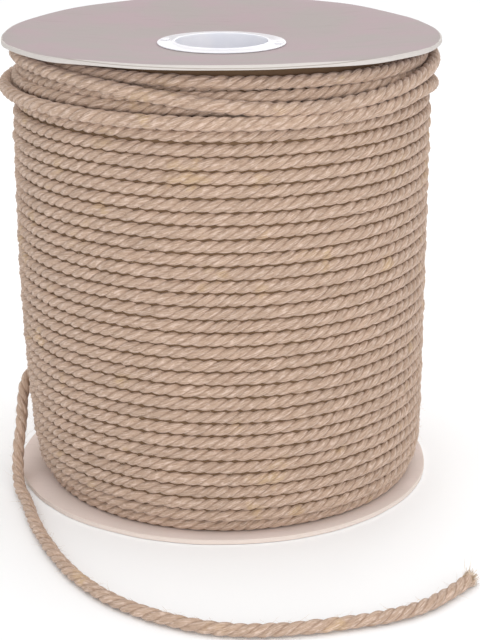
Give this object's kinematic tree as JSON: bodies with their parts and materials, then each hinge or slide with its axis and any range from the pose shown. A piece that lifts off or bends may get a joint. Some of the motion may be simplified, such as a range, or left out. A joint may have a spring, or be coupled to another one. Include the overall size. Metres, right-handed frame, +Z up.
{
  "type": "coil of jute rope on a reel",
  "caption": "Laid jute rope wound in level turns on a board reel with a plastic hub, slack turns under the top flange, one frayed end lying on the floor.",
  "frame": {"origin": "middle of the bottom flange's underside, on the surface that the reel stands on", "axes": "+Z up along the reel's bore, -Y towards the side round which the loose end lies, +X to that view's right"},
  "size_m": [0.2864, 0.3953, 0.295],
  "materials": {
    "jute": "dry twisted natural fibre with short hairs",
    "board": "matt pressed grey board",
    "hub_plastic": "smooth moulded white"
  },
  "bodies": {
    "root": {"bottom_flange": "board", "bottom_bush": "hub_plastic", "core_tube": "hub_plastic", "rope_winding": "jute", "loose_end": "jute", "top_flange": "board", "top_bush": "hub_plastic"}
  },
  "joints": []
}
